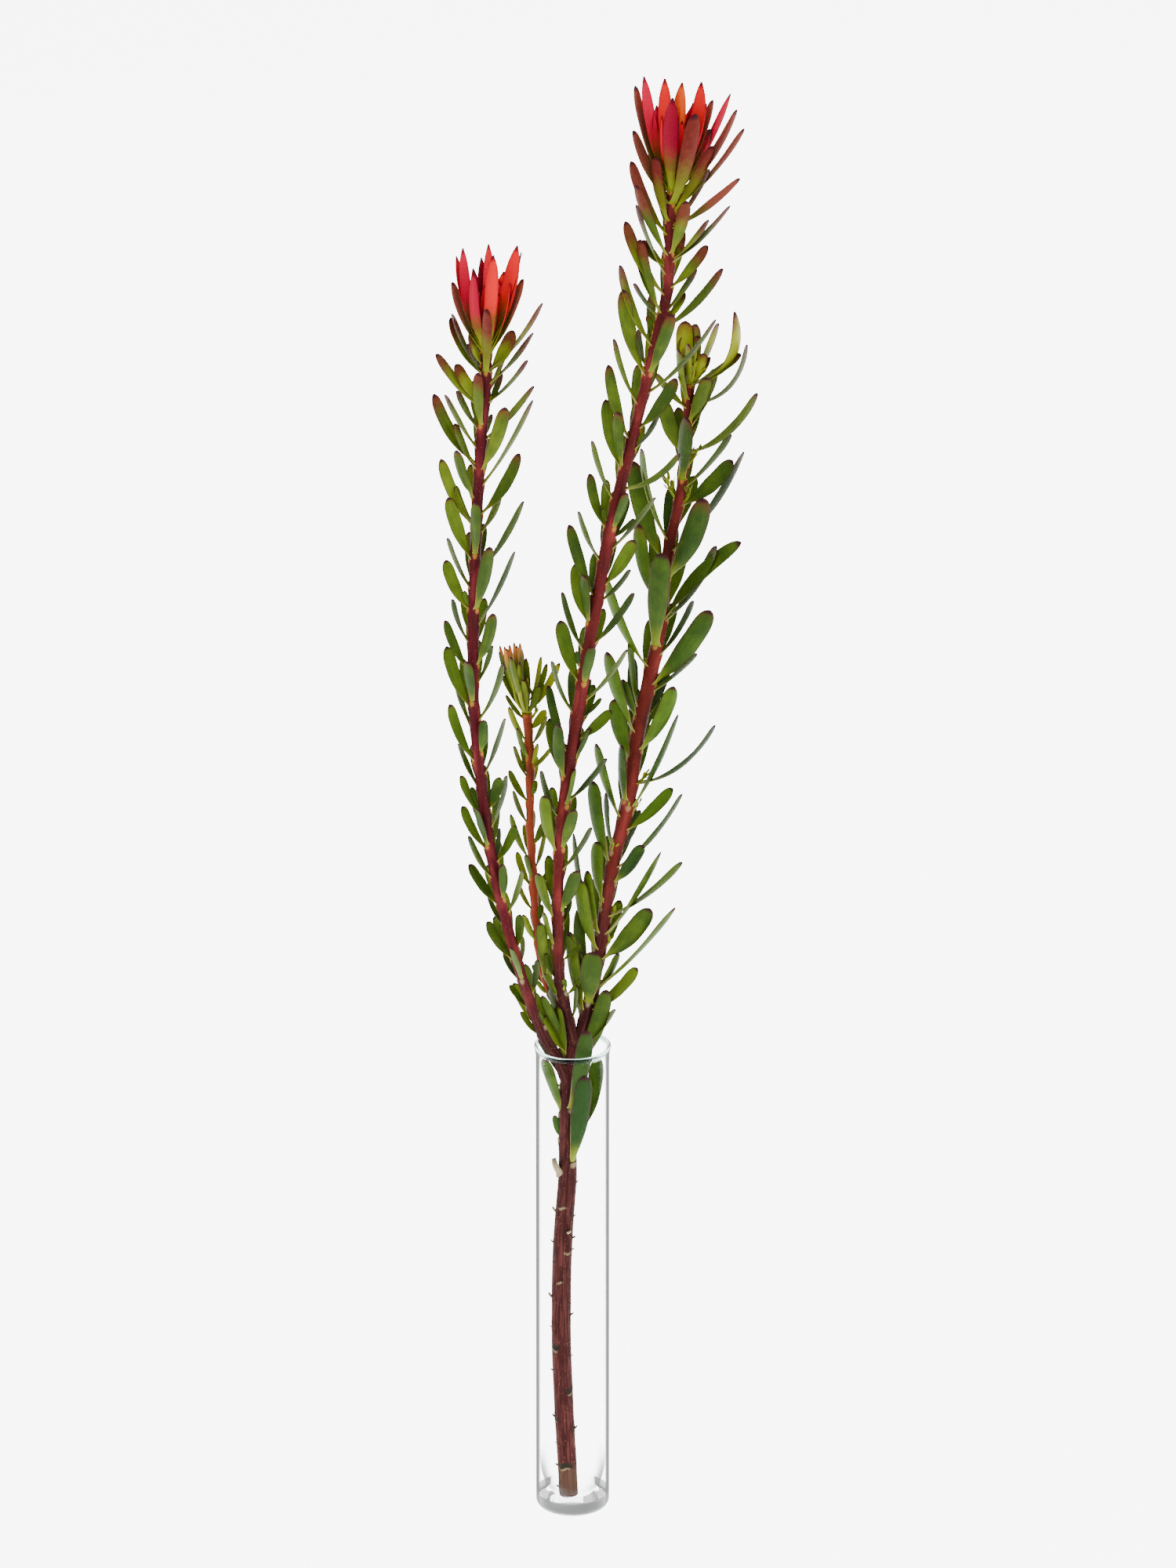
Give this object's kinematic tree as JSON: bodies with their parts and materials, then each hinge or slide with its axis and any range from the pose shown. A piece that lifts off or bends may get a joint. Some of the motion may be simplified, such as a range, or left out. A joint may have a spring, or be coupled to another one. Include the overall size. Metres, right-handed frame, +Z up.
{
  "type": "safari sunset leucadendron in vase",
  "caption": "Cut branched conebush stem with narrow green leaves and red bract heads, standing in a tall slim clear glass cylinder vase.",
  "frame": {"origin": "centre of the vase's flat underside", "axes": "+Z up along the vase's axis; +Y away from the viewer, +X to the viewer's right, so the taller red head leans towards +X and the other towards -X"},
  "size_m": [0.2093, 0.1046, 1.009],
  "materials": {
    "clear_glass": "clear, smooth, with a thick foot",
    "woody_stem": "satin brown-red bark",
    "red_stem": "satin burgundy skin with pale striations",
    "orange_stem": "satin red-orange skin with pale striations",
    "green_leaf": "leathery satin green with a red-brown tip",
    "young_leaf": "leathery satin yellow-green",
    "red_bract": "satin coral red, yellow-green towards the base",
    "maroon_bract": "satin maroon, green towards the base"
  },
  "bodies": {
    "root": {"vase": "clear_glass", "main_stem": "woody_stem", "branch_left": "red_stem", "branch_short": "orange_stem", "branch_centre": "red_stem", "branch_right": "red_stem", "leaf_mouth_1": "green_leaf", "leaf_mouth_2": "green_leaf", "leaf_mouth_3": "green_leaf", "leaf_mouth_4": "green_leaf", "leaf_mouth_5": "green_leaf", "leaf_left_1": "green_leaf", "leaf_left_2": "green_leaf", "leaf_left_3": "green_leaf", "leaf_left_4": "green_leaf", "leaf_left_5": "green_leaf", "leaf_left_6": "green_leaf", "leaf_left_7": "green_leaf", "leaf_short_1": "young_leaf", "leaf_short_2": "young_leaf", "leaf_short_3": "young_leaf", "leaf_short_4": "young_leaf", "leaf_centre_1": "green_leaf", "leaf_centre_2": "green_leaf", "leaf_centre_3": "green_leaf", "leaf_centre_4": "green_leaf", "leaf_centre_5": "green_leaf", "leaf_centre_6": "green_leaf", "leaf_centre_7": "green_leaf", "leaf_centre_8": "green_leaf", "leaf_right_1": "green_leaf", "leaf_right_2": "green_leaf", "leaf_right_3": "green_leaf", "leaf_right_4": "green_leaf", "leaf_right_5": "green_leaf", "leaf_right_6": "green_leaf", "leaf_right_7": "green_leaf", "leaf_right_8": "green_leaf", "leaf_right_9": "green_leaf", "bract_left_1": "red_bract", "bract_left_2": "red_bract", "bract_left_3": "red_bract", "bract_left_4": "red_bract", "bract_left_5": "red_bract", "bract_left_6": "maroon_bract", "bract_left_7": "maroon_bract", "bract_left_8": "maroon_bract", "bract_left_9": "maroon_bract", "bract_left_10": "maroon_bract", "bract_centre_1": "red_bract", "bract_centre_2": "red_bract", "bract_centre_3": "red_bract", "bract_centre_4": "red_bract", "bract_centre_5": "red_bract", "bract_centre_6": "maroon_bract", "bract_centre_7": "maroon_bract", "bract_centre_8": "maroon_bract", "bract_centre_9": "maroon_bract", "bract_centre_10": "maroon_bract"}
  },
  "joints": []
}
